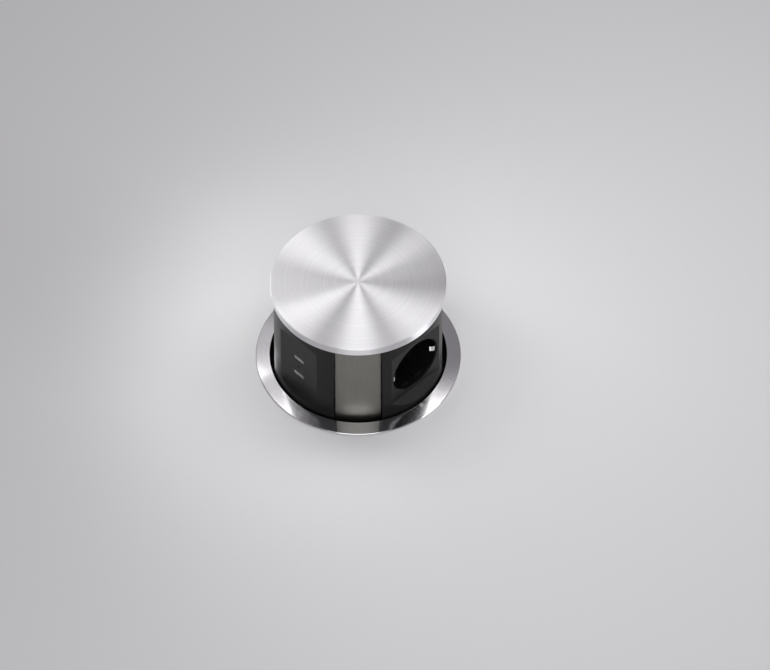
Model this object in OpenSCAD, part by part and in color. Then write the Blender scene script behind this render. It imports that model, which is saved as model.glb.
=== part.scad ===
// Pop up desk socket: a sprung round tower with three earthed sockets and two USB-C ports
// Millimetres. Origin on the axis in the desk's top surface, +Z up, drawn with the tower raised.

/* [Trim ring] */
// Outer diameter of the trim ring
ring_od = 134; // [126:0.5:146]
// Width of the ring's face
ring_w = 9.4; // [8.6:0.1:11]
// Height of the ring's inner edge above the desk
ring_h = 2.6; // [2.4:0.1:3.2]
// Fall of the ring's face from its inner edge to its outer edge
ring_fall = 1; // [0.6:0.1:1.2]
// Sheet thickness of the ring
ring_sheet = 0.7; // [0.5:0.1:0.8]
// Radius of the ring's outer edge
ring_round = 0.8; // [0.4:0.1:0.9]
// Depth of the ring's inner skirt below the desk's surface
skirt_depth = 3; // [2:0.5:3.5]
// Thickness of the gasket under the flange
gasket_t = 0.5; // [0.4:0.1:0.6]

/* [Cap] */
// How far the cap's rim stands out over the columns
cap_over = 2.5; // [2.2:0.1:3.5]
// Height of the cap's rim
cap_t = 5.4; // [5:0.2:7]
// Sheet thickness of the cap
cap_sheet = 1.5; // [1:0.1:2]
// Rounding of the cap's top edge
cap_round = 0.8; // [0.3:0.1:0.9]
// Radial gap between cap and ring
cap_gap = 0.6; // [0.4:0.1:0.8]
// Top of the raised cap above the desk
raised_h = 76; // [74:0.5:80]

/* [Tower] */
// Wall of the plastic panels
panel_wall = 2.5; // [2:0.1:3]
// Width of the metal columns
column_w = 29.7; // [26:0.5:32]
// Wall of the metal columns
column_t = 1.6; // [1.2:0.1:2.2]
// Gap between a column and a panel
seam = 0.25; // [0.15:0.05:0.4]
// How far the panels stand back from the cap's rim
panel_back = 0.3; // [0:0.05:0.4]
// Depth of the chassis plate's top below the desk
chassis_depth = 9.8; // [9.8:0.1:10.4]
// Thickness of the chassis plate
chassis_t = 4; // [3:0.5:5]

/* [Sockets] */
// Height of the sockets' centre above the desk
socket_z = 36.7; // [35:0.1:39]
// Diameter of a socket's well
well_d = 39; // [38.5:0.1:39.5]
// Depth of a socket's well
well_depth = 17.5; // [17:0.1:18]
// Wall of a socket's well
well_wall = 1.7; // [1.2:0.1:2]
// Width of the flat round a well
flat_w = 43.4; // [42.8:0.2:46]
// Height of the flat round a well
flat_h = 44.6; // [42:0.2:46]
// Fall of the slopes above and below the flats, for each millimetre outwards
slope = 1.8; // [1.6:0.1:2.2]
// Distance between the pin holes
pin_pitch = 19; // [18.8:0.1:19.2]
// Diameter of the pin holes
pin_hole_d = 5.5; // [5.2:0.1:5.8]
// Width of the guide ribs in a well
rib_w = 6; // [4:0.2:6.2]
// Gap between the two ribs of a pair
rib_gap = 6.4; // [4:0.2:6.6]
// Travel of a shutter
shutter_travel = 6.5; // [6:0.1:6.8]

/* [USB] */
// Width of the flat round the ports
usb_flat_w = 33; // [31:0.5:36]
// Height of the flat round the ports
usb_flat_h = 48.5; // [46:0.5:52]
// Height of the ports' centre above the desk
usb_z = 35.9; // [34:0.1:38]
// Distance between the two ports
port_pitch = 15.4; // [12:0.2:17]
// Depth of the ports behind the flat
port_sink = 0.3; // [0.2:0.1:1.2]
// Width of a port's shell
port_w = 8.94; // [8.8:0.02:9.1]
// Height of a port's shell
port_h = 3.26; // [3.16:0.02:3.36]

/* [Housing] */
// Radial gap between the cap's throat and the sleeve's bore
bore_extra = 0.8; // [0.8:0.1:1.2]
// Wall of the sleeve
sleeve_wall = 2.2; // [2:0.1:2.6]
// Thread pitch of the sleeve
thread_pitch = 6; // [5.5:0.25:7]
// Height of the thread
thread_h = 1.3; // [1:0.1:1.5]
// Thickness of the base cover
base_t = 3; // [2.5:0.5:5]
// Thickness of the desk that the nut is set to
desk_t = 30; // [22:1:42]
// Thickness of the clamp washer
washer_t = 2; // [1.5:0.5:3]
// Height of the locknut
nut_h = 10; // [8:1:14]
// Bore of the cable seal
seal_bore_d = 8.4; // [7:0.1:9]

/* [Lift] */
// Wire diameter of the lift spring
spring_wire = 1.4; // [1.2:0.1:1.6]
// Mean diameter of the lift spring
spring_d = 16.4; // [16:0.1:16.8]
// Coils of the lift spring
spring_turns = 20; // [16:1:22]
// Module of the damper's teeth
tooth_m = 0.8; // [0.75:0.05:0.85]

/* [Hidden] */
$fn = 96;

// Directions of the modules and the columns round the axis
dir_right = 0;
dir_rear = 90;
dir_left = 180;
dir_usb = 270;
dir_col_front = 315;
dir_col_right = 45;
dir_col_rear = 135;
dir_col_left = 225;

// Clearances
run_gap = 0.3;
slide_gap = 0.4;
slip = 0.05;
past = 1;

// Radii
ring_r = ring_od / 2;
ring_ir = ring_r - ring_w;
cap_r = ring_ir - cap_gap;
tower_r = cap_r - cap_over;
panel_r = cap_r - panel_back;
bore_r = ring_ir + bore_extra;
sleeve_r = bore_r + sleeve_wall;
crest_r = sleeve_r + thread_h;
flange_r = ring_r - ring_sheet - 0.2;
collar_ir = tower_r + slide_gap;
plate_r = bore_r - 0.5;
nut_bore_r = crest_r + run_gap;
carrier_r = cap_r - cap_sheet - 0.3;

// Levels
ring_out_z = ring_h - ring_fall;
flange_top = ring_h - ring_sheet;
cap_low = raised_h - cap_t;
skin_low = raised_h - cap_sheet;
closed_sink = 0.5;
closed_top = ring_h - closed_sink;
over_travel = 1.2;
lift_travel = raised_h - closed_top + over_travel;
collar_top = cap_low - lift_travel - run_gap;
collar_h = 4.7;
collar_low = collar_top - collar_h;
chassis_top = min(-chassis_depth, collar_low - run_gap);
chassis_low = chassis_top - chassis_t;
tail_low = chassis_low - 13.7;
floor_z = tail_low - lift_travel - 0.4;
base_low = floor_z - base_t;
washer_top = -desk_t;
nut_top = washer_top - washer_t;
nut_low = nut_top - nut_h;

// Lift
post_r = 6;
post_top = chassis_low - 2.2;
guide_ri = spring_d / 2 + spring_wire / 2 + 0.7;
guide_ro = guide_ri + 1.9;
spring_seat = cap_low - 6.6;
guide_top = spring_seat + 2;
foot_t = 1.5;
spring_low = floor_z + foot_t;

// Socket module, drawn facing +X
flat_x = sqrt(panel_r * panel_r - flat_w * flat_w / 4);
flat_lo = socket_z - flat_h / 2;
flat_hi = socket_z + flat_h / 2;
well_r = well_d / 2;
well_floor = flat_x - well_depth;
floor_t = 2.5;
well_back = well_floor - floor_t;
pin_w = pin_pitch / 2;
rib_top = well_r - 2.3;
rib_front = flat_x - 3.4;
shutter_t = 1.7;
shutter_x = well_back - run_gap - shutter_t;
shutter_hu = 3.4;
shutter_hw = 13;
carrier_hu = shutter_hu + shutter_travel + 0.6;
carrier_hw = 15;
bar_ri = guide_ro + 0.4;
bar_ro = bar_ri + 1.5;
carrier_x = bar_ro + 0.2;
tube_ri = 2.45;
tube_ro = 3.1;
clip_t = 0.8;
clip_hw = 2.2;
clip_u = well_r - 1.1;
strap_x = (carrier_x + shutter_x) / 2;
live_z = socket_z + pin_w;
neutral_z = socket_z - pin_w;
earth_z = socket_z;
bar_h = 5;

// USB module, drawn facing +X
usb_x = sqrt(panel_r * panel_r - usb_flat_w * usb_flat_w / 4);
usb_lo = usb_z + 1.35 - usb_flat_h / 2;
usb_hi = usb_lo + usb_flat_h;
usb_back = usb_x - panel_wall;
port_hi = usb_z + port_pitch / 2;
port_lo = usb_z - port_pitch / 2;
port_front = usb_x - port_sink;
port_len = 7.1;
board_front = port_front - port_len;
board_t = 1.6;
board_lo = usb_z - 19.75;
board_hi = usb_z + 24.25;
light_u = 0;
light_z = usb_z + 0.4;

// Columns
boss_at = tower_r - 8.1;
boss_r = 3.4;
wedge_apex = (column_w / 2 + seam) * sqrt(2);
edge_in = 0.8;
panel_hw = panel_r * sin(45 - asin((column_w / 2 + seam + edge_in) / panel_r));

// Damper, drawn on +X and turned to the rear column
teeth = 12;
pitch_r = tooth_m * teeth / 2;
tooth_p = PI * tooth_m;
rack_tip = tower_r + run_gap;
rack_root = rack_tip + 1.75 * tooth_m;
rack_pitch = rack_tip + 0.7 * tooth_m;
pinion_x = rack_pitch - pitch_r - 0.12;
pinion_z = chassis_low - pitch_r - tooth_m - 2.4;
pinion_hw = 2.5;
rack_hw = 3;

// Latch, drawn on +X and turned to the USB side
hook_open = 20;
pivot_x = bore_r - 10.4;
pivot_z = floor_z + 4;
catch_z = chassis_low - 4.4;
catch_down = catch_z - lift_travel;

// Gland
gland_x = 22.4 - bore_r;
gland_ri = seal_bore_d / 2 + 1.8;
gland_ro = gland_ri + 2;

module ring_zone(ro, ri, z0, z1) {
    difference() {
        translate([0, 0, z0]) cylinder(r = ro, h = z1 - z0);
        translate([0, 0, z0 - past]) cylinder(r = ri, h = z1 - z0 + 2 * past);
    }
}

module block(x0, x1, y0, y1, z0, z1) {
    translate([x0, y0, z0]) cube([x1 - x0, y1 - y0, z1 - z0]);
}

module rod_x(r, x0, x1, y, z) {
    translate([x0, y, z]) rotate([0, 90, 0]) cylinder(r = r, h = x1 - x0);
}

module rod_y(r, x, y0, y1, z) {
    translate([x, y0, z]) rotate([-90, 0, 0]) cylinder(r = r, h = y1 - y0);
}

// Height just under the ring's sheet at radius r
function ring_under(r) = ring_h - ring_sheet - 0.02
    - ring_fall * (r - ring_ir - 0.65) / (ring_r - ring_sheet - ring_ir - 0.65);

// Points of a rounded outer corner at radius r and height z
function edge_round(r, z, e) = [for (i = [0:6]) [r - e + e * sin(15 * i), z - e + e * cos(15 * i)]];

module face(a) {
    rotate([0, 0, a]) children();
}

module four(a0) {
    for (i = [0:3]) rotate([0, 0, a0 + 90 * i]) children();
}

// Trim ring: stamped sheet with a rolled outer edge and a short inner skirt
module trim_ring() color([0.78, 0.78, 0.8]) {
    rotate_extrude() polygon(concat(
        [[ring_ir, -skirt_depth], [ring_ir, ring_h - 0.3], [ring_ir + 0.3, ring_h]],
        edge_round(ring_r, ring_out_z, ring_round),
        [
            [ring_r, 0.2], [ring_r - ring_sheet, 0.2], [ring_r - ring_sheet, ring_out_z - ring_sheet],
            [ring_ir + 0.65, ring_h - ring_sheet], [ring_ir + 0.65, -skirt_depth]
        ]
    ));
}

module desk_gasket() color([0.06, 0.06, 0.06]) {
    ring_zone(flange_r, crest_r + 0.8, 0, gasket_t);
}

// Helical ridge that the locknut runs on
module thread_ridge() {
    segs = 24;
    turns = floor((-floor_z - 34) / thread_pitch);
    n = segs * turns;
    inner_r = sleeve_r - 0.9;
    prof = [
        [inner_r, -0.29 * thread_pitch], [crest_r, -0.1 * thread_pitch],
        [crest_r, 0.1 * thread_pitch], [inner_r, 0.29 * thread_pitch]
    ];
    low = -12 - turns * thread_pitch;
    pts = [for (i = [0:n]) for (p = prof) [
        p[0] * cos(i * 360 / segs), p[0] * sin(i * 360 / segs), low + i * thread_pitch / segs + p[1]
    ]];
    sides = [for (i = [0:n - 1]) for (j = [0:3])
        let (a = 4 * i + j, b = 4 * i + (j + 1) % 4)
        each [[a, b, b + 4], [a, b + 4, a + 4]]];
    ends = [
        [0, 2, 1], [0, 3, 2],
        [4 * n, 4 * n + 1, 4 * n + 2], [4 * n, 4 * n + 2, 4 * n + 3]
    ];
    polyhedron(pts, concat(sides, ends));
}

module radial_screw_holes(z, r_in, a0) {
    four(a0) {
        rod_x(1.3, r_in, sleeve_r + past, 0, z);
        translate([sleeve_r - 1.4, 0, z]) rotate([0, 90, 0]) cylinder(r1 = 1.3, r2 = 2.75, h = 1.45);
    }
}

module radial_screws(z, r_in, a0) {
    four(a0) {
        rod_x(1.25, r_in, sleeve_r - 1.3, 0, z);
        translate([sleeve_r - 1.4, 0, z]) rotate([0, 90, 0]) difference() {
            cylinder(r1 = 1.25, r2 = 2.6, h = 1.35);
            translate([-1.5, -0.3, 0.8]) cube([3, 0.6, 1]);
            translate([-0.3, -1.5, 0.8]) cube([0.6, 3, 1]);
        }
    }
}

// Sleeve: tube through the desk with a flange, outer thread and screw holes
module housing_sleeve() color([0.1, 0.1, 0.11]) {
    difference() {
        union() {
            translate([0, 0, floor_z]) cylinder(r = sleeve_r, h = flange_top - 0.9 - floor_z);
            rotate_extrude() polygon([
                [bore_r - past, gasket_t], [flange_r, gasket_t], [flange_r, ring_under(flange_r)],
                [bore_r - past, ring_under(bore_r - past)]
            ]);
        }
        translate([0, 0, floor_z - past]) cylinder(r = bore_r, h = flange_top - floor_z + 3 * past);
        radial_screw_holes(collar_low + collar_h / 2, bore_r - past, 45);
        radial_screw_holes(floor_z + 4.5, bore_r - past, base_turn);
    }
    thread_ridge();
}

// Collar: guides the tower and stops it at the top
module guide_collar() color([0.05, 0.05, 0.055]) {
    difference() {
        union() {
            ring_zone(bore_r - 0.15, panel_r + slide_gap, collar_low, collar_top);
            four(45) intersection() {
                ring_zone(bore_r - 0.15, collar_ir, collar_low, collar_top);
                block(collar_ir - 5, bore_r, 0.6 - column_w / 2, column_w / 2 - 0.6,
                    collar_low - past, collar_top + past);
            }
        }
        four(45) rod_x(1.3, collar_ir + 0.9, bore_r + past, 0, collar_low + collar_h / 2);
    }
}

module collar_screws() color([0.6, 0.6, 0.62]) {
    radial_screws(collar_low + collar_h / 2, collar_ir + 1, 45);
}

// Base cover: plate with a rim that the sleeve is screwed to
rim_ri = bore_r - 2.5;
rim_top = floor_z + 9;
base_turn = 20;

module base_cover() color([0.1, 0.1, 0.11]) {
    difference() {
        union() {
            translate([0, 0, base_low]) cylinder(r = sleeve_r, h = base_t);
            ring_zone(bore_r - 0.1, rim_ri, floor_z - 0.5, rim_top);
        }
        face(dir_col_rear) block(rim_ri - 2, bore_r + past, -4.5, 4.5, floor_z, rim_top + past);
        four(base_turn) rod_x(1.3, rim_ri + 0.5, bore_r + past, 0, floor_z + 4.5);
        translate([gland_x, 0, base_low - past]) cylinder(r = gland_ro + 0.1, h = base_t + 2 * past);
        translate([0, 0, base_low - past]) cylinder(r = 4, h = base_t + 2 * past);
        translate([0, 0, base_low - past]) cylinder(r = 6, h = past + 1.2);
    }
}

module base_screws() color([0.6, 0.6, 0.62]) {
    radial_screws(floor_z + 4.5, rim_ri + 0.6, base_turn);
}

// Spring post: riveted stud that keeps the lift spring straight
module spring_post() color([0.7, 0.7, 0.68]) {
    translate([0, 0, floor_z]) cylinder(r = guide_ri - 0.4, h = foot_t);
    translate([0, 0, floor_z]) cylinder(r = post_r, h = post_top - 1 - floor_z);
    translate([0, 0, post_top - 1]) cylinder(r1 = post_r, r2 = post_r - 1, h = 1);
    translate([0, 0, base_low + 0.1]) cylinder(r = 3.95, h = base_t);
    translate([0, 0, base_low + 0.1]) cylinder(r = 5.8, h = 1);
}

// Wound spring as one tube of six-sided rings
spring_a = spring_low + spring_wire / 2 + 0.05;
spring_b = spring_seat - spring_wire / 2 - 0.05;
spring_rings = 8 * spring_turns;

function spring_c(i) = let (
    a = 360 * i / 8,
    end_turn = 8,
    lift = (spring_b - spring_a) / (spring_rings - end_turn),
    h = min(max(i - end_turn / 2, 0), spring_rings - end_turn)
) [spring_d / 2 * cos(a), spring_d / 2 * sin(a), spring_a + h * lift];

module lift_spring() color([0.72, 0.72, 0.74]) {
    pts = [for (i = [0:spring_rings]) let (c = spring_c(i), a = 45 * i) for (j = [0:5])
        c + spring_wire / 2 * [cos(60 * j) * cos(a), cos(60 * j) * sin(a), sin(60 * j)]];
    sides = [for (i = [0:spring_rings - 1]) for (j = [0:5])
        let (a = 6 * i + j, b = 6 * i + (j + 1) % 6)
        each [[a, b + 6, b], [a, a + 6, b + 6]]];
    n = 6 * spring_rings;
    ends = [for (j = [1:4]) each [[0, j, j + 1], [n, n + j + 1, n + j]]];
    polyhedron(pts, concat(sides, ends));
}

spring_gaps = [for (i = [8:spring_rings]) norm(spring_c(i) - spring_c(i - 8)) - spring_wire];
echo(lift_spring_least_gap = min([for (i = [12:spring_rings - 4]) spring_gaps[i - 8]]));

// Gland under the base cover
module gland_body() color([0.12, 0.12, 0.13]) {
    translate([gland_x, 0, 0]) difference() {
        union() {
            translate([0, 0, base_low - 4]) cylinder(r = gland_ro + 4.5, h = 4, $fn = 6);
            translate([0, 0, base_low - 11]) cylinder(r = gland_ro, h = 11 + base_t + 4);
        }
        translate([0, 0, base_low - 12]) cylinder(r = gland_ri, h = base_t + 20);
    }
}

module gland_locknut() color([0.12, 0.12, 0.13]) {
    translate([gland_x, 0, 0]) difference() {
        translate([0, 0, floor_z]) cylinder(r = gland_ro + 3.6, h = 3.6, $fn = 6);
        translate([0, 0, floor_z - past]) cylinder(r = gland_ro + slip, h = 6);
    }
}

module gland_seal() color([0.05, 0.05, 0.05]) {
    translate([gland_x, 0, 0])
        ring_zone(gland_ri - 0.05, seal_bore_d / 2, base_low - 13.5, base_low - 3);
}

module gland_nut() color([0.12, 0.12, 0.13]) {
    translate([gland_x, 0, 0]) difference() {
        union() {
            translate([0, 0, base_low - 13]) cylinder(r = gland_ro + 3.6, h = 8.7, $fn = 6);
            translate([0, 0, base_low - 17.5])
                cylinder(r1 = gland_ri + 0.4, r2 = gland_ro + 2.4, h = 4.6);
        }
        translate([0, 0, base_low - 13.5]) cylinder(r = gland_ro + slip, h = 14);
        translate([0, 0, base_low - 18]) cylinder(r = seal_bore_d / 2 + 0.5, h = 6);
    }
}

// Clamp under the desk
module clamp_washer() color([0.62, 0.62, 0.64]) {
    ring_zone(crest_r + 8.1, nut_bore_r, nut_top, washer_top);
}

module locknut() color([0.1, 0.1, 0.11]) {
    difference() {
        union() {
            translate([0, 0, nut_low]) cylinder(r = crest_r + 7.1, h = nut_h);
            translate([0, 0, nut_top - 2.5]) cylinder(r = crest_r + 8.1, h = 2.5);
            for (i = [0:11]) rotate([0, 0, 30 * i])
                block(crest_r + 5, crest_r + 9.6, -3, 3, nut_low, nut_top - 2.5);
        }
        translate([0, 0, nut_low - past]) cylinder(r = nut_bore_r, h = nut_h + 2 * past);
    }
}

// Rack on the sleeve's wall for the damper
module damper_rack() color([0.85, 0.84, 0.8]) {
    hi = collar_low;
    n = floor((hi - floor_z - 3) / tooth_p) - 1;
    first = pinion_z + (floor((hi - 2 - pinion_z) / tooth_p) - 0.5) * tooth_p;
    face(dir_col_rear) difference() {
        intersection() {
            rotate([90, 0, 0]) translate([0, 0, -rack_hw]) linear_extrude(2 * rack_hw) polygon(concat(
                [[bore_r + past, floor_z], [bore_r + past, hi], [rack_root, hi]],
                [for (i = [0:n]) let (c = first - i * tooth_p) if (c > floor_z + 1.5) each [
                    [rack_root, c + 0.37 * tooth_p], [rack_tip, c + 0.12 * tooth_p],
                    [rack_tip, c - 0.12 * tooth_p], [rack_root, c - 0.37 * tooth_p]
                ]],
                [[rack_root, floor_z]]
            ));
            translate([0, 0, floor_z - past]) cylinder(r = bore_r - 0.05, h = hi - floor_z + 2 * past);
        }
    }
}

module damper_body() color([0.15, 0.15, 0.17]) {
    face(dir_col_rear) {
        rod_y(5.4, pinion_x - 3, pinion_hw + 0.5, pinion_hw + 9, pinion_z - 0.2);
        block(pinion_x - 8, pinion_x + 2.5, pinion_hw + 0.5, pinion_hw + 9, pinion_z, chassis_low);
        rod_y(1.4, pinion_x, -pinion_hw - 0.6, pinion_hw + 1, pinion_z);
        rod_y(3, pinion_x, pinion_hw + 0.5, pinion_hw + 3, pinion_z);
    }
}

module damper_pinion() color([0.9, 0.89, 0.85]) {
    tip = pitch_r + 0.85 * tooth_m;
    root = pitch_r - 1.15 * tooth_m;
    step = 360 / teeth;
    face(dir_col_rear) translate([pinion_x, 0, pinion_z]) rotate([90, 0, 0]) difference() {
        translate([0, 0, -pinion_hw]) linear_extrude(2 * pinion_hw) polygon([
            for (i = [0:teeth - 1]) for (p = [
                [root, -0.36], [pitch_r - 0.3 * tooth_m, -0.25], [pitch_r + 0.3 * tooth_m, -0.18], [tip, -0.09],
                [tip, 0.09], [pitch_r + 0.3 * tooth_m, 0.18], [pitch_r - 0.3 * tooth_m, 0.25], [root, 0.36]
            ]) [p[0] * cos((i + p[1]) * step), p[0] * sin((i + p[1]) * step)]
        ]);
        translate([0, 0, -pinion_hw - past]) cylinder(r = 1.4 + slip, h = 2 * pinion_hw + 2 * past);
    }
}

// Latch that holds the tower down
module latch_bracket() color([0.7, 0.7, 0.72]) {
    face(dir_usb) difference() {
        union() {
            block(pivot_x - 5, pivot_x + 4.5, -6, 6, floor_z, floor_z + 1.2);
            for (s = [-1, 1]) block(pivot_x - 3, pivot_x + 3, s * 4.8 - 0.6, s * 4.8 + 0.6, floor_z, pivot_z + 3);
        }
        rod_y(1.5 + 0.02, pivot_x, -8, 8, pivot_z);
    }
}

module latch_pin() color([0.75, 0.75, 0.77]) {
    face(dir_usb) {
        rod_y(1.5, pivot_x, -6, 6, pivot_z);
        rod_y(2.2, pivot_x, -6.6, -5.4 - slip, pivot_z);
    }
}

module latch_hook() color([0.82, 0.81, 0.77]) {
    face(dir_usb) translate([pivot_x, 0, pivot_z]) rotate([0, hook_open, 0]) difference() {
        union() {
            rod_y(2.7, 0, -4, 4, 0);
            rotate([90, 0, 0]) translate([0, 0, -4]) linear_extrude(8) polygon([
                [-1.6, 0], [2.4, 0], [2.4, catch_down - pivot_z + 3], [-1.6, catch_down - pivot_z + 3],
                [-5.4, catch_down - pivot_z + 1.2], [-5.4, catch_down - pivot_z + 0.3],
                [-1.6, catch_down - pivot_z + 0.3]
            ]);
        }
        rod_y(1.5 + slip, 0, -8, 8, 0);
    }
}

module latch_striker() color([0.7, 0.7, 0.72]) {
    face(dir_usb) {
        block(pivot_x - 9.5, pivot_x - 6.8, -4, 4, tail_low + 1, chassis_low);
        block(pivot_x - 12, pivot_x - 2, -6.5, 6.5, chassis_low - 1, chassis_low);
        difference() {
            block(pivot_x - 6.8, pivot_x - 3.4, -4, 4, tail_low + 1, catch_z);
            translate([pivot_x - 3.4, -5, tail_low + 1]) rotate([0, 35, 0]) translate([-3, 0, -4]) cube([6, 10, 4]);
        }
    }
}

// Cap: pressed steel cup over a plastic carrier
module cap_plate() color([0.82, 0.82, 0.83]) {
    rotate_extrude() polygon(concat(
        [[0, skin_low], [0, raised_h]],
        edge_round(cap_r, raised_h, cap_round),
        [[cap_r, cap_low], [cap_r - cap_sheet, cap_low], [cap_r - cap_sheet, skin_low]]
    ));
}

module cap_carrier() color([0.08, 0.08, 0.085]) {
    difference() {
        translate([0, 0, cap_low]) cylinder(r = carrier_r, h = skin_low - cap_low);
        four(45) {
            translate([boss_at, 0, cap_low - past]) cylinder(r = 1.7, h = 10);
            translate([boss_at, 0, skin_low - 2.4]) cylinder(r = 3.1, h = 4);
        }
    }
}

module tapping_screw(len) {
    difference() {
        translate([0, 0, -2.2]) cylinder(r = 2.8, h = 2.2);
        translate([-1.6, -0.35, -2.5]) cube([3.2, 0.7, 1.4]);
        translate([-0.35, -1.6, -2.5]) cube([0.7, 3.2, 1.4]);
    }
    translate([0, 0, -0.1]) cylinder(r = 1.35, h = len);
}

module carrier_screws() color([0.6, 0.6, 0.62]) {
    four(45) translate([boss_at, 0, skin_low - 2.4]) mirror([0, 0, 1]) tapping_screw(10);
}

// Chassis: plate that rides in the sleeve, with the spring's guide tube
module tower_chassis() color([0.09, 0.09, 0.1]) {
    difference() {
        union() {
            translate([0, 0, chassis_low]) cylinder(r = plate_r, h = chassis_t);
            translate([0, 0, tail_low]) cylinder(r = guide_ro, h = guide_top - tail_low);
        }
        translate([0, 0, tail_low - past]) cylinder(r = guide_ri, h = spring_seat - tail_low + past);
        face(dir_col_rear)
            block(rack_tip - 0.35, plate_r + past, -rack_hw - 0.6, rack_hw + 0.6, chassis_low - past, chassis_top + past);
        translate([gland_x, 0, chassis_low - past]) cylinder(r = 6.5, h = chassis_t + 2 * past);
        four(45) translate([boss_at, 0, chassis_low - past]) cylinder(r = 1.7, h = chassis_t + 2 * past);
    }
}

module chassis_screws() color([0.6, 0.6, 0.62]) {
    four(45) translate([boss_at, 0, chassis_low]) tapping_screw(14);
}

// Columns: extruded arcs with a screw channel
module column() {
    difference() {
        union() {
            intersection() {
                ring_zone(tower_r, tower_r - column_t, chassis_top, cap_low);
                block(tower_r - 12, tower_r + past, -column_w / 2, column_w / 2, chassis_top, cap_low);
            }
            translate([boss_at, 0, chassis_top]) cylinder(r = boss_r, h = cap_low - chassis_top);
            block(boss_at, tower_r - column_t + 0.4, -1.2, 1.2, chassis_top, cap_low);
        }
        translate([boss_at, 0, chassis_top - past]) cylinder(r = 1.4, h = cap_low - chassis_top + 2 * past);
    }
}

module column_front() color([0.4, 0.4, 0.37]) face(dir_col_front) column();
module column_right() color([0.4, 0.4, 0.37]) face(dir_col_right) column();
module column_rear() color([0.4, 0.4, 0.37]) face(dir_col_rear) column();
module column_left() color([0.4, 0.4, 0.37]) face(dir_col_left) column();

// Wall of a panel between two columns, with a flat set into it and a slope at each end of the flat
module panel_wall_part(fx, z0, z1, half_w) {
    reach = panel_r - fx + past;
    difference() {
        intersection() {
            union() {
                ring_zone(panel_r, tower_r - panel_wall, chassis_top, cap_low);
                block(fx - panel_wall, panel_r, -half_w - 2, half_w + 2, z0 - 2, z1 + 2);
            }
            translate([0, 0, chassis_top]) cylinder(r = panel_r, h = cap_low - chassis_top);
            translate([0, 0, chassis_top]) linear_extrude(cap_low - chassis_top) polygon([
                [wedge_apex, 0], [wedge_apex + 60, -60], [wedge_apex + 60, 60]
            ]);
            block(0, panel_r + past, -panel_hw, panel_hw, chassis_top, cap_low);
        }
        translate([0, half_w + 5, 0]) rotate([90, 0, 0]) linear_extrude(2 * half_w + 10) polygon([
            [fx, z0], [fx, z1], [fx + reach, z1 + reach * slope], [fx + reach, z0 - reach * slope]
        ]);
    }
}

module socket_panel() {
    difference() {
        union() {
            panel_wall_part(flat_x, flat_lo, flat_hi, flat_w / 2);
            rod_x(well_r + well_wall, well_back, flat_x - 0.5, 0, socket_z);
        }
        difference() {
            rod_x(well_r, well_floor, panel_r + past, 0, socket_z);
            for (s = [-1, 1]) for (t = [-1, 1])
                block(well_floor - past, rib_front,
                    t * (rib_gap + rib_w) / 2 - rib_w / 2, t * (rib_gap + rib_w) / 2 + rib_w / 2,
                    socket_z + s * (rib_top + 2) - 2, socket_z + s * (rib_top + 2) + 2);
        }
        translate([flat_x - 0.7, 0, socket_z]) rotate([0, 90, 0])
            cylinder(r1 = well_r, r2 = well_r + 0.75, h = 0.75);
        for (s = [-1, 1]) {
            rod_x(pin_hole_d / 2, well_back - past, well_floor + past, 0, socket_z + s * pin_w);
            translate([well_floor - 0.8, 0, socket_z + s * pin_w]) rotate([0, 90, 0])
                cylinder(r1 = pin_hole_d / 2, r2 = pin_hole_d / 2 + 0.9, h = 0.9);
            block(well_back - past, well_floor + past, s * clip_u - 1.3, s * clip_u + 1.3,
                socket_z - clip_hw - 0.5, socket_z + clip_hw + 0.5);
        }
    }
}

module socket_panel_right() color([0.16, 0.16, 0.17]) face(dir_right) socket_panel();
module socket_panel_rear() color([0.16, 0.16, 0.17]) face(dir_rear) socket_panel();
module socket_panel_left() color([0.16, 0.16, 0.17]) face(dir_left) socket_panel();

// Carrier that holds the contacts against the back of a well
module contact_carrier() {
    difference() {
        block(carrier_x, well_back, -carrier_hu, carrier_hu, socket_z - carrier_hw, socket_z + carrier_hw);
        block(shutter_x - run_gap, well_back + past, -shutter_hu - run_gap, carrier_hu + past,
            socket_z - shutter_hw - run_gap, socket_z + shutter_hw + run_gap);
        for (s = [-1, 1]) rod_x(tube_ro + slip, carrier_x - past, well_back, 0, socket_z + s * pin_w);
        block(strap_x - 0.1, strap_x + clip_t + 0.1, -carrier_hu - past, carrier_hu + past,
            socket_z - clip_hw - 0.1, socket_z + clip_hw + 0.1);
        block(carrier_x - past, strap_x, -2.1, 2.1, socket_z - bar_h / 2 - 0.1, socket_z + bar_h / 2 + 0.1);
    }
}

module contact_carrier_right() color([0.75, 0.73, 0.68]) face(dir_right) contact_carrier();
module contact_carrier_rear() color([0.75, 0.73, 0.68]) face(dir_rear) contact_carrier();
module contact_carrier_left() color([0.75, 0.73, 0.68]) face(dir_left) contact_carrier();

module contact_tubes() {
    for (s = [-1, 1]) difference() {
        rod_x(tube_ro, bar_ro, shutter_x - run_gap, 0, socket_z + s * pin_w);
        rod_x(tube_ri, bar_ro + 0.3, shutter_x, 0, socket_z + s * pin_w);
        block(bar_ro + 4, shutter_x, -0.3, 0.3, socket_z + s * pin_w - 4, socket_z + s * pin_w + 4);
    }
}

module contact_tubes_right() color([0.78, 0.66, 0.38]) face(dir_right) contact_tubes();
module contact_tubes_rear() color([0.78, 0.66, 0.38]) face(dir_rear) contact_tubes();
module contact_tubes_left() color([0.78, 0.66, 0.38]) face(dir_left) contact_tubes();

// Earth clip: bent strip with a sprung leg on each side of the well
clip_bend = 2.6;
clip_run = 11;
clip_steps = 11;

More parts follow.
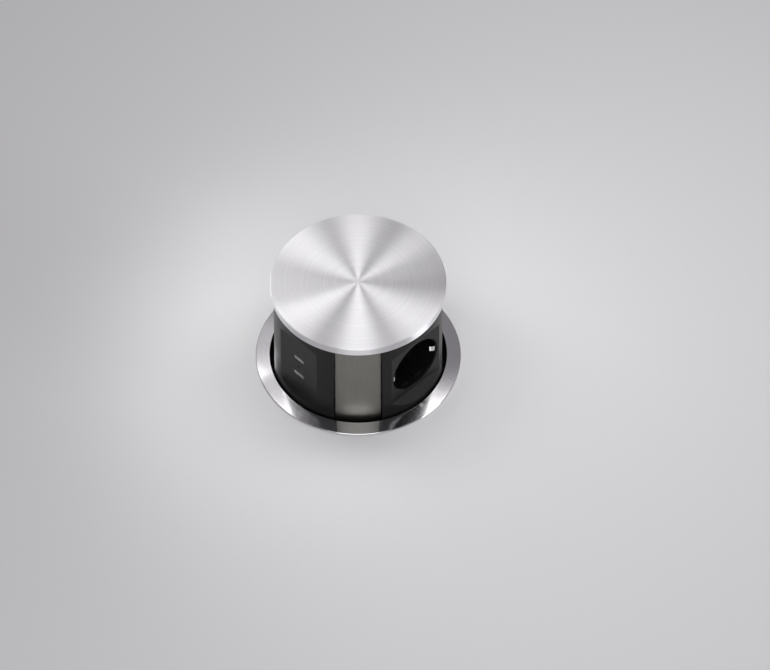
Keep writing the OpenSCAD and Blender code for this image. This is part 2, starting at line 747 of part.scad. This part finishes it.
module earth_clip() {
    tip = flat_x - 1;
    half = clip_t / 2;
    line = [for (i = [0:clip_steps]) let (s = i / clip_steps)
        [tip - clip_run * s, clip_u - clip_bend * sin(180 * pow(s, 0.63))]];
    outer = concat([for (p = line) p + [0, half]], [[strap_x, clip_u + half]]);
    inner = concat([[strap_x + clip_t, clip_u - half]],
        [for (i = [clip_steps:-1:0]) line[i] - [0, half]]);
    n = clip_steps + 1;
    translate([0, 0, socket_z - clip_hw]) linear_extrude(2 * clip_hw) polygon(concat(
        outer,
        [for (i = [n:-1:0]) [outer[i][0], -outer[i][1]]],
        [for (i = [n:-1:0]) [inner[i][0], -inner[i][1]]],
        inner
    ));
}

module earth_clip_right() color([0.8, 0.8, 0.82]) face(dir_right) earth_clip();
module earth_clip_rear() color([0.8, 0.8, 0.82]) face(dir_rear) earth_clip();
module earth_clip_left() color([0.8, 0.8, 0.82]) face(dir_left) earth_clip();

// Shutter: sprung slide that covers both pin holes
module shutter() {
    block(shutter_x, shutter_x + shutter_t, -shutter_hu, shutter_hu,
        socket_z - shutter_hw, socket_z + shutter_hw);
}

module shutter_right() color([0.2, 0.2, 0.21]) face(dir_right) shutter();
module shutter_rear() color([0.2, 0.2, 0.21]) face(dir_rear) shutter();
module shutter_left() color([0.2, 0.2, 0.21]) face(dir_left) shutter();

// Bars that join the sockets to the terminal block
bar_tab_y = -bar_ro - 0.6;

module bar(z, a0, a1, leg, reach, tabs) {
    foot_x = bar_ro * cos(leg);
    rotate([0, 0, a0]) translate([0, 0, z - bar_h / 2])
        rotate_extrude(angle = a1 - a0) translate([bar_ri, 0]) square([bar_ro - bar_ri, bar_h]);
    for (a = [dir_right, dir_rear, dir_left]) face(a)
        block(bar_ri + 0.3, reach, -1.8, 1.8, z - tabs, z + tabs);
    rotate([0, 0, leg]) block(bar_ri + 0.2, bar_ro - 0.2, -2, 2, chassis_top + 3.3, z);
    block(foot_x - 1.4, foot_x + 1.4, bar_tab_y, (bar_ri + bar_ro) / 2 * sin(leg),
        chassis_top + 3.8, chassis_top + 6.8);
}

module live_bar() color([0.75, 0.45, 0.28]) bar(live_z, -40, 190, -35, bar_ro, 2);
module neutral_bar() color([0.75, 0.45, 0.28]) bar(neutral_z, -10, 220, 215, bar_ro, 2);
module earth_bar() color([0.75, 0.45, 0.28]) bar(earth_z, -10, 278, 270, strap_x, 2);

// Terminal block on the chassis plate, under the USB module
module terminal_block() color([0.78, 0.77, 0.73]) {
    difference() {
        block(-15, 15, bar_tab_y - 16, bar_tab_y, chassis_top, chassis_top + 13);
        for (x = [-1, 0, 1]) {
            translate([x * 10.5, bar_tab_y - 8, chassis_top + 7.8]) cylinder(r = 2.6, h = 8);
            rod_y(2.2, x * 10.5, bar_tab_y - 18, bar_tab_y - 4, chassis_top + 4.3);
        }
    }
}

module terminal_screws() color([0.7, 0.62, 0.4]) {
    for (x = [-1, 0, 1]) translate([x * 10.5, bar_tab_y - 8, chassis_top + 7.8]) difference() {
        cylinder(r = 2.5, h = 2.6);
        translate([-3, -0.4, 1.6]) cube([6, 0.8, 2]);
    }
}

// USB module
module slot_x(w, h, x0, x1, z) {
    translate([x0, 0, z]) rotate([90, 0, 90]) linear_extrude(x1 - x0) union() {
        square([w - h, h], center = true);
        for (s = [-1, 1]) translate([s * (w - h) / 2, 0]) circle(d = h);
    }
}

module usb_panel() color([0.16, 0.16, 0.17]) {
    face(dir_usb) difference() {
        union() {
            panel_wall_part(usb_x, usb_lo, usb_hi, usb_flat_w / 2);
            for (s = [-1, 1]) for (z = [board_lo + 3, board_hi - 3])
                rod_x(2, board_front, usb_back + 0.5, s * 11, z);
        }
        for (z = [port_lo, port_hi]) {
            slot_x(port_w + 0.2, port_h + 0.2, usb_back - past, usb_x + past, z);
        }
        rod_x(0.8, usb_back - past, usb_x + past, light_u, light_z);
    }
}

module usb_ports() color([0.8, 0.8, 0.82]) {
    face(dir_usb) for (z = [port_lo, port_hi]) difference() {
        slot_x(port_w, port_h, board_front, port_front, z);
        slot_x(port_w - 0.6, port_h - 0.7, board_front + 0.3, port_front + past, z);
    }
}

module usb_tongues() color([0.85, 0.85, 0.84]) {
    face(dir_usb) for (z = [port_lo, port_hi]) {
        block(board_front + 0.3, board_front + 1.4, -3.6, 3.6, z - 1.1, z + 1.1);
        block(board_front + 1.4, port_front - 0.7, -3.35, 3.35, z - 0.35, z + 0.35);
    }
}

module usb_board() color([0.1, 0.3, 0.18]) {
    face(dir_usb) block(board_front - board_t, board_front, -14.5, 14.5, board_lo, board_hi);
}

module usb_converter() color([0.2, 0.2, 0.2]) {
    face(dir_usb) {
        block(board_front - board_t - 14, board_front - board_t, -10, 10, usb_z - 12.75, usb_z + 11.25);
        rod_x(5, board_front - board_t - 13, board_front - board_t, 0, usb_z + 15.25);
    }
}

module usb_light() color([0.03, 0.03, 0.03]) {
    face(dir_usb) rod_x(0.75, board_front, usb_x - 0.8, light_u, light_z);
}

trim_ring();
desk_gasket();
housing_sleeve();
guide_collar();
collar_screws();
base_cover();
base_screws();
spring_post();
lift_spring();
gland_body();
gland_nut();
gland_seal();
gland_locknut();
damper_rack();
latch_bracket();
latch_pin();
latch_hook();
clamp_washer();
locknut();
cap_plate();
cap_carrier();
carrier_screws();
tower_chassis();
chassis_screws();
column_front();
column_right();
column_rear();
column_left();
usb_panel();
usb_ports();
usb_tongues();
usb_board();
usb_converter();
usb_light();
socket_panel_right();
socket_panel_rear();
socket_panel_left();
contact_carrier_right();
contact_carrier_rear();
contact_carrier_left();
contact_tubes_right();
contact_tubes_rear();
contact_tubes_left();
earth_clip_right();
earth_clip_rear();
earth_clip_left();
shutter_right();
shutter_rear();
shutter_left();
live_bar();
neutral_bar();
earth_bar();
terminal_block();
terminal_screws();
damper_body();
damper_pinion();
latch_striker();
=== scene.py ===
import math

import bmesh
import bpy
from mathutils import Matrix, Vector


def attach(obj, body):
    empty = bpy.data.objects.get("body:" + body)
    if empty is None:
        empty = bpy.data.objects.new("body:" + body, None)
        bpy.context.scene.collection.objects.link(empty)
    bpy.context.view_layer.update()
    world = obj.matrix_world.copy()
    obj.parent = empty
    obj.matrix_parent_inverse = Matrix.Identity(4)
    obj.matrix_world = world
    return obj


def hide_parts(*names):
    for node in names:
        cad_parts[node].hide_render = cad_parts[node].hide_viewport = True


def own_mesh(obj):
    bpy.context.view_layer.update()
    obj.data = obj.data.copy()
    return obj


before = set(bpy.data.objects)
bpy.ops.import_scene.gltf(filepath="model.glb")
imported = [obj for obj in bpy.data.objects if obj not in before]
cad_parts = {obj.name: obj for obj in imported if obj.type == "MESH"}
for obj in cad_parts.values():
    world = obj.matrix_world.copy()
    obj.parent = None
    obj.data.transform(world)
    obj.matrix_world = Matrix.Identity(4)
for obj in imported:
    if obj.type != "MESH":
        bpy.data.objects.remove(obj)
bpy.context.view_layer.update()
scene = bpy.context.scene
scene.view_settings.view_transform = "Standard"
mm = 0.001
print("frame loaded:", len(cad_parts), "nodes")

# a Mix node's colour sockets: two inputs and the output
mixFirst, mixSecond, mixResult = 6, 7, 2


# sets a node's inputs: a shader value is linked, anything else is typed in
def feed(node, values):
    for key, value in values.items():
        if isinstance(value, Value):
            value.tree.links.new(value.socket, node.inputs[key])
        else:
            node.inputs[key].default_value = value


# one shader value: maths on it adds the nodes
class Value:
    def __init__(self, tree, socket):
        self.tree = tree
        self.socket = socket

    def add(self, kind, settings, sockets, output=0):
        node = self.tree.nodes.new("ShaderNode" + kind)
        for key, setting in settings.items():
            setattr(node, key, setting)
        feed(node, sockets)
        return Value(self.tree, node.outputs[output])

    def reckon(self, operation, first, second):
        return self.add("Math", {"operation": operation}, {0: first, 1: second})

    def __add__(self, other):
        return self.reckon("ADD", self, other)

    def __radd__(self, other):
        return self.reckon("ADD", other, self)

    def __sub__(self, other):
        return self.reckon("SUBTRACT", self, other)

    def __mul__(self, other):
        return self.reckon("MULTIPLY", self, other)

    def __rmul__(self, other):
        return self.reckon("MULTIPLY", other, self)

    def __pow__(self, other):
        return self.reckon("POWER", self, other)

    # value from low..high taken to 0..1 and held there
    def between(self, low, high):
        return self.add("MapRange", {"clamp": True}, {"Value": self, "From Min": low, "From Max": high})

    def noise(self, scale, detail, rough=0.5):
        return self.add("TexNoise", {}, {
            "Vector": self, "Scale": scale, "Detail": detail, "Roughness": rough,
        })

    # first where this value is 0, second where it is 1
    def mixed(self, first, second):
        first, second = (end if isinstance(end, Value) else (*end, 1.0) for end in (first, second))
        ends = {"Factor": self, mixFirst: first, mixSecond: second}
        return self.add("Mix", {"data_type": "RGBA"}, ends, mixResult)

    def scaled(self, x, y, z):
        return self.add("VectorMath", {"operation": "MULTIPLY"}, {0: self, 1: (x, y, z)})


def startFinish(name):
    finish = bpy.data.materials.new(name)
    finish.use_nodes = True
    tree = finish.node_tree
    shader = tree.nodes["Principled BSDF"]
    spot = Value(tree, tree.nodes.new("ShaderNodeTexCoord").outputs["Object"])
    return finish, shader, spot


# edges catch a line of light, grain lies on top of that; depth and edge are in mm
def grained(spot, height, relief):
    rounded = spot.add("Bevel", {"samples": 6}, {"Radius": relief["edge"] * mm})
    return spot.add("Bump", {}, {
        "Strength": relief["bump"],
        "Distance": relief["depth"] * mm,
        "Height": height,
        "Normal": rounded,
    })


# the part of a noise's range that runs from the dark colour to the pale one, and its middle
noiseRange = (0.3, 0.7)
noiseMiddle = 0.5

# lines are the noise scales of broad and fine grooves
# edge is a painted highlight, a lighter colour on the outer rim, in full from the radius in mm given
# last
spunSteel = {
    "cap": {
        "pale": (0.78, 0.775, 0.785), "dark": (0.66, 0.65, 0.67), "edge": (0.93, 0.92, 0.94),
        "rough": 0.42, "spread": 0.08, "anisotropy": 1.0,
        "lines": (700.0, 2600.0), "bump": 0.05, "rim": 56.8,
    },
    "trim": {
        "pale": (0.76, 0.75, 0.765), "dark": (0.70, 0.69, 0.71), "edge": (0.80, 0.79, 0.81),
        "rough": 0.12, "spread": 0.04, "anisotropy": 0.6,
        "lines": (900.0, 3200.0), "bump": 0.02, "rim": 66.9,
    },
}
spunShare = {"broad": 0.45, "fine": 0.45, "cloudy": 0.10}
spunRelief = {"cloudScale": 60.0, "rimBlend": 0.2, "quarterTurn": 0.25, "depth": 0.03}


# turned grooves: their pattern depends on radius and height only
def makeSpunSteel(name, look):
    finish, shader, spot = startFinish(name)
    parts = spot.add("SeparateXYZ", {}, {0: spot})
    x, y, z = (Value(spot.tree, socket) for socket in parts.socket.node.outputs)
    radius = (x * x + y * y) ** 0.5
    turned = spot.add("CombineXYZ", {}, {0: radius, 1: z, 2: 0.0})
    broadScale, fineScale = look["lines"]
    broad = turned.noise(broadScale, detail=3.0)
    fine = turned.noise(fineScale, detail=2.0)
    cloudy = spot.noise(spunRelief["cloudScale"], detail=2.0)
    lines = broad * spunShare["broad"] + fine * spunShare["fine"] + cloudy * spunShare["cloudy"]
    turnedSteel = lines.between(*noiseRange).mixed(look["dark"], look["pale"])
    # painted highlight: the outer rim band gets the lighter edge colour in place of the grooved steel
    rim = radius.between((look["rim"] - spunRelief["rimBlend"]) * mm, look["rim"] * mm)
    feed(shader, {
        "Base Color": rim.mixed(turnedSteel, look["edge"]),
        "Metallic": 1.0,
        "Roughness": look["rough"] + look["spread"] * (lines - noiseMiddle),
        "Anisotropic": look["anisotropy"],
        "Anisotropic Rotation": spunRelief["quarterTurn"],
        "Normal": spot.add("Bump", {}, {
            "Strength": look["bump"], "Distance": spunRelief["depth"] * mm, "Height": lines,
        }),
    })
    return finish


# stretch is the noise scale along x, y and z
drawnMetal = {
    "column": {
        "pale": (0.245, 0.243, 0.219), "dark": (0.205, 0.203, 0.183),
        "rough": 0.40, "stretch": (1600, 1600, 40),
    },
    "zinc": {
        "pale": (0.62, 0.62, 0.61), "dark": (0.50, 0.51, 0.52),
        "rough": 0.36, "stretch": (400, 400, 400),
    },
    "nickel": {
        "pale": (0.78, 0.76, 0.72), "dark": (0.68, 0.66, 0.62),
        "rough": 0.22, "stretch": (900, 900, 300),
    },
    "shell": {
        "pale": (0.93, 0.93, 0.93), "dark": (0.86, 0.86, 0.86),
        "rough": 0.50, "stretch": (900, 900, 300),
    },
    "brass": {
        "pale": (0.78, 0.58, 0.27), "dark": (0.66, 0.47, 0.20),
        "rough": 0.30, "stretch": (500, 500, 500),
    },
    "copper": {
        "pale": (0.80, 0.45, 0.30), "dark": (0.66, 0.35, 0.22),
        "rough": 0.32, "stretch": (300, 300, 900),
    },
}
drawnShare = {"streaks": 0.7, "stain": 0.3}
drawnRelief = {"stainScale": 90.0, "spread": 0.16, "bump": 0.10, "depth": 0.04, "edge": 0.25}


def makeDrawnMetal(name, look):
    finish, shader, spot = startFinish(name)
    drawn = spot.scaled(*look["stretch"])
    streaks = drawn.noise(1.0, detail=3.0, rough=0.6)
    stain = spot.noise(drawnRelief["stainScale"], detail=3.0)
    blend = streaks * drawnShare["streaks"] + stain * drawnShare["stain"]
    feed(shader, {
        "Base Color": blend.between(*noiseRange).mixed(look["dark"], look["pale"]),
        "Metallic": 1.0,
        "Roughness": look["rough"] + drawnRelief["spread"] * (blend - noiseMiddle),
        "Normal": grained(spot, streaks, drawnRelief),
    })
    return finish


# grain is the noise scale of the mould's texture
moulded = {
    "anthracite": {
        "pale": (0.010, 0.010, 0.0105), "dark": (0.007, 0.007, 0.0075),
        "rough": 0.26, "grain": 2200.0, "shine": 0.16,
    },
    "black": {
        "pale": (0.011, 0.011, 0.012), "dark": (0.008, 0.008, 0.009),
        "rough": 0.50, "grain": 1500.0, "shine": 0.30,
    },
    "soot": {
        "pale": (0.005, 0.005, 0.005), "dark": (0.003, 0.003, 0.003),
        "rough": 0.62, "grain": 1500.0, "shine": 0.06,
    },
    "cream": {
        "pale": (0.66, 0.63, 0.55), "dark": (0.58, 0.55, 0.47),
        "rough": 0.42, "grain": 900.0, "shine": 0.40,
    },
    "tongue": {
        "pale": (0.80, 0.80, 0.81), "dark": (0.74, 0.74, 0.75),
        "rough": 0.40, "grain": 1500.0, "shine": 0.40,
    },
    "rubber": {
        "pale": (0.016, 0.016, 0.016), "dark": (0.010, 0.010, 0.010),
        "rough": 0.72, "grain": 1200.0, "shine": 0.25,
    },
    "lens": {
        "pale": (0.004, 0.004, 0.005), "dark": (0.003, 0.003, 0.003),
        "rough": 0.30, "grain": 600.0, "shine": 0.05,
    },
}
mouldedShare = {"grain": 0.6, "flow": 0.4}
mouldedRelief = {"flowScale": 70.0, "spread": 0.14, "bump": 0.25, "depth": 0.03, "edge": 0.3}


def makeMoulded(name, look):
    finish, shader, spot = startFinish(name)
    grain = spot.noise(look["grain"], detail=4.0, rough=0.6)
    flow = spot.noise(mouldedRelief["flowScale"], detail=2.0)
    tint = grain * mouldedShare["grain"] + flow * mouldedShare["flow"]
    feed(shader, {
        "Base Color": tint.between(*noiseRange).mixed(look["dark"], look["pale"]),
        "Roughness": look["rough"] + mouldedRelief["spread"] * (grain - noiseMiddle),
        "Specular IOR Level": look["shine"],
        "Normal": grained(spot, grain, mouldedRelief),
    })
    return finish


boardLook = {
    "mask": (0.018, 0.10, 0.045), "track": (0.045, 0.19, 0.085),
    "runScale": 450.0, "runEdge": (0.30, 0.36), "weaveScale": 2700.0,
    "rough": 0.32, "spread": 0.12, "bump": 0.2, "depth": 0.03, "edge": 0.15,
}


# tracks under the solder mask as short right-angled runs
def makeBoard(name, look):
    finish, shader, spot = startFinish(name)
    runs = spot.add("TexVoronoi", {"distance": "CHEBYCHEV"}, {"Vector": spot, "Scale": look["runScale"]})
    track = runs.between(*look["runEdge"])
    weave = spot.noise(look["weaveScale"], detail=2.0)
    feed(shader, {
        "Base Color": track.mixed(look["track"], look["mask"]),
        "Roughness": look["rough"] + look["spread"] * weave,
        "Normal": grained(spot, track, look),
    })
    return finish


finishes = {"board": makeBoard("solderMask", boardLook)}
for key, look in spunSteel.items():
    finishes[key] = makeSpunSteel(key + "Steel", look)
for key, look in drawnMetal.items():
    finishes[key] = makeDrawnMetal(key + "Metal", look)
for key, look in moulded.items():
    finishes[key] = makeMoulded(key + "Moulding", look)
print("finishes made:", len(finishes))

# which finish each node wears
wears = {
    "cap": ["cap_plate"],
    "trim": ["trim_ring"],
    "column": ["column_front", "column_right", "column_rear", "column_left"],
    "zinc": [
        "collar_screws", "base_screws", "carrier_screws", "chassis_screws", "spring_post",
        "latch_bracket", "latch_pin", "clamp_washer", "latch_striker", "lift_spring",
    ],
    "nickel": ["earth_clip_right", "earth_clip_rear", "earth_clip_left"],
    "shell": ["usb_ports"],
    "tongue": ["usb_tongues"],
    "brass": ["contact_tubes_right", "contact_tubes_rear", "contact_tubes_left", "terminal_screws"],
    "copper": ["live_bar", "neutral_bar", "earth_bar"],
    "anthracite": [
        "usb_panel", "socket_panel_right", "socket_panel_rear", "socket_panel_left",
        "shutter_right", "shutter_rear", "shutter_left",
    ],
    "black": [
        "housing_sleeve", "base_cover", "gland_body", "gland_nut", "gland_locknut", "locknut",
        "cap_carrier", "tower_chassis", "usb_converter", "damper_body",
    ],
    "soot": ["guide_collar"],
    "cream": [
        "damper_rack", "latch_hook", "contact_carrier_right", "contact_carrier_rear",
        "contact_carrier_left", "terminal_block", "damper_pinion",
    ],
    "rubber": ["desk_gasket", "gland_seal"],
    "lens": ["usb_light"],
    "board": ["usb_board"],
}
for key, names in wears.items():
    for name in names:
        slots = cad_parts[name].data.materials
        slots.clear()
        slots.append(finishes[key])
print("nodes dressed")

weldDistance = 1e-7
sharpAngle = math.radians(32)


def addPiece(name, bm, finish, body, *nodes):
    mesh = bpy.data.meshes.new(name)
    bmesh.ops.remove_doubles(bm, verts=bm.verts[:], dist=weldDistance)
    bmesh.ops.recalc_face_normals(bm, faces=bm.faces[:])
    bm.to_mesh(mesh)
    bm.free()
    mesh.shade_smooth()
    mesh.set_sharp_from_angle(angle=sharpAngle)
    mesh.materials.append(finishes[finish])
    piece = bpy.data.objects.new(name, mesh)
    scene.collection.objects.link(piece)
    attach(piece, body)
    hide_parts(*nodes)
    return piece


# lift spring, in mm: round wire wound with a flat half turn at each end
spring = {
    "wire": 1.4, "mean": 16.4, "low": -101.5, "high": 64.0, "clear": 0.05,
    "turns": 20, "flat": 0.5, "sides": 12, "steps": 28,
}


def windSpring(look):
    bm = bmesh.new()
    half = look["wire"] / 2
    low = look["low"] + half + look["clear"]
    high = look["high"] - half - look["clear"]
    made = bmesh.ops.create_circle(bm, segments=look["sides"], radius=half * mm)
    alongWire = Vector((0, 1, 0)).to_track_quat("Z", "X").to_matrix()
    bmesh.ops.rotate(bm, verts=bm.verts[:], cent=(0, 0, 0), matrix=alongWire)
    bmesh.ops.translate(bm, verts=bm.verts[:], vec=(look["mean"] / 2 * mm, 0, low * mm))
    tip = made["verts"] + bm.edges[:]
    flat = look["flat"]
    middle = look["turns"] - 2 * flat
    for turns, rise in ((flat, 0.0), (middle, high - low), (flat, 0.0)):
        steps = round(turns * look["steps"])
        spun = bmesh.ops.spin(
            bm, geom=tip, cent=(0, 0, 0), axis=(0, 0, 1), dvec=(0, 0, rise / steps * mm),
            angle=turns * math.tau, steps=steps,
        )
        tip = spun["geom_last"]
    bmesh.ops.holes_fill(bm, edges=[e for e in bm.edges if e.is_boundary], sides=look["sides"])
    return bm


coil = addPiece("lift_coil", windSpring(spring), "zinc", "housing", "lift_spring")
# with the tower sunk, 90.4 mm are left of the spring's 165.5 mm
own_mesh(coil)
print("spring wound")

# camera: long lens from the front right, as in the photograph
# distance is in metres, right and up are shifts in mm
shot = {
    "azimuth": 45.0, "elevation": 50.8, "lens": 421.0, "sensor": 36.0,
    "distance": 5.87, "right": 17.4, "up": 13.6, "clip": 60.0,
}
turn = math.radians(shot["azimuth"])
lift = math.radians(shot["elevation"])
back = Vector((math.sin(turn) * math.cos(lift), -math.cos(turn) * math.cos(lift), math.sin(lift)))
right = Vector((math.cos(turn), math.sin(turn), 0))
up = back.cross(right)
camera = bpy.data.objects.new("camera", bpy.data.cameras.new("camera"))
camera.data.lens = shot["lens"]
camera.data.sensor_width = shot["sensor"]
camera.data.clip_end = shot["clip"]
camera.location = right * shot["right"] * mm + up * shot["up"] * mm + back * shot["distance"]
camera.rotation_mode = "QUATERNION"
camera.rotation_quaternion = back.to_track_quat("Z", "Y")
scene.collection.objects.link(camera)
scene.camera = camera

# desk top with the round hole that the sleeve stands in, both radii in mm
desk = {
    "hole": 62.4, "reach": 7000.0, "sides": 128, "colour": (0.88, 0.88, 0.885),
    "rough": 0.55, "spread": 0.06, "grain": 400.0, "shine": 0.3,
}


def makeDesk(look):
    bm = bmesh.new()
    bmesh.ops.create_circle(bm, segments=look["sides"], radius=look["hole"] * mm)
    out = bmesh.ops.extrude_edge_only(bm, edges=bm.edges[:])
    edge = [v for v in out["geom"] if isinstance(v, bmesh.types.BMVert)]
    grow = look["reach"] / look["hole"]
    bmesh.ops.scale(bm, vec=(grow, grow, 1.0), verts=edge)
    bmesh.ops.recalc_face_normals(bm, faces=bm.faces[:])
    mesh = bpy.data.meshes.new("desk")
    bm.to_mesh(mesh)
    bm.free()
    finish, shader, spot = startFinish("deskLaminate")
    feed(shader, {
        "Base Color": (*look["colour"], 1.0),
        "Roughness": look["rough"] + look["spread"] * spot.noise(look["grain"], detail=3.0),
        "Specular IOR Level": look["shine"],
    })
    mesh.materials.append(finish)
    top = bpy.data.objects.new("desk", mesh)
    scene.collection.objects.link(top)


makeDesk(desk)

# softboxes: toward is side, depth and height as seen from the camera; far and size are in metres
softboxes = {
    "boxTop": {
        "toward": (0.0, 0.16, 0.987), "far": 0.27, "size": (0.06, 0.06),
        "spread": 90, "power": 0.013,
    },
    "boxLeft": {
        "toward": (-0.48, 0.22, 0.85), "far": 0.25, "size": (0.09, 0.12),
        "spread": 90, "power": 0.042,
    },
    "boxRight": {
        "toward": (0.41, 0.28, 0.868), "far": 0.55, "size": (0.26, 0.26),
        "spread": 180, "power": 0.74,
    },
    "boxFill": {
        "toward": (0.0, -0.447, 0.894), "far": 0.18, "size": (0.10, 0.10),
        "spread": 90, "power": 0.008,
    },
    "boxBack": {
        "toward": (-0.642, 0.498, 0.581), "far": 0.24, "size": (0.08, 0.08),
        "spread": 90, "power": 0.016,
    },
    "boxCorner": {
        "toward": (-0.343, 0.629, 0.697), "far": 0.175, "size": (0.05, 0.05),
        "spread": 90, "power": 0.0028,
    },
    "boxDip": {
        "toward": (-0.341, -0.275, 0.898), "far": 0.167, "size": (0.05, 0.05),
        "spread": 90, "power": 0.002,
    },
    "boxSky": {
        "toward": (-0.15, 0.60, 0.785), "far": 1.5, "size": (0.85, 0.6),
        "spread": 180, "power": 0.60,
    },
    "boxHigh": {
        "toward": (0.0, 0.10, 0.995), "far": 3.0, "size": (1.4, 1.4),
        "spread": 180, "power": 6.0,
    },
    "boxFront": {
        "toward": (0.0, -0.77, 0.64), "far": 0.9, "size": (0.45, 0.45),
        "spread": 180, "power": 1.3,
    },
    "boxLow": {
        "toward": (0.94, -0.31, 0.16), "far": 1.4, "size": (0.5, 0.3),
        "spread": 180, "power": 3.6,
    },
    "boxUnder": {
        "toward": (-0.2, -0.7, -0.65), "far": 1.0, "size": (0.7, 0.7),
        "spread": 180, "power": 5.0,
    },
}
lampCentre = Vector((0, 0, 0.04))
away = Vector((-math.sin(turn), math.cos(turn), 0))
for name, look in softboxes.items():
    lamp = bpy.data.lights.new(name, "AREA")
    lamp.shape = "RECTANGLE"
    lamp.size, lamp.size_y = look["size"]
    lamp.spread = math.radians(look["spread"])
    lamp.energy = look["power"]
    side, depth, height = look["toward"]
    toward = (right * side + away * depth + Vector((0, 0, height))).normalized()
    box = bpy.data.objects.new(name, lamp)
    box.location = lampCentre + toward * look["far"]
    box.rotation_mode = "QUATERNION"
    box.rotation_quaternion = toward.to_track_quat("Z", "Y")
    scene.collection.objects.link(box)

# even light from all round
studio = {"colour": (1.0, 0.965, 1.02), "strength": 0.25}
world = bpy.data.worlds.new("studio")
scene.world = world
world.use_nodes = True
feed(world.node_tree.nodes["Background"], {
    "Color": (*studio["colour"], 1.0),
    "Strength": studio["strength"],
})
print("stage, lamps and camera set")
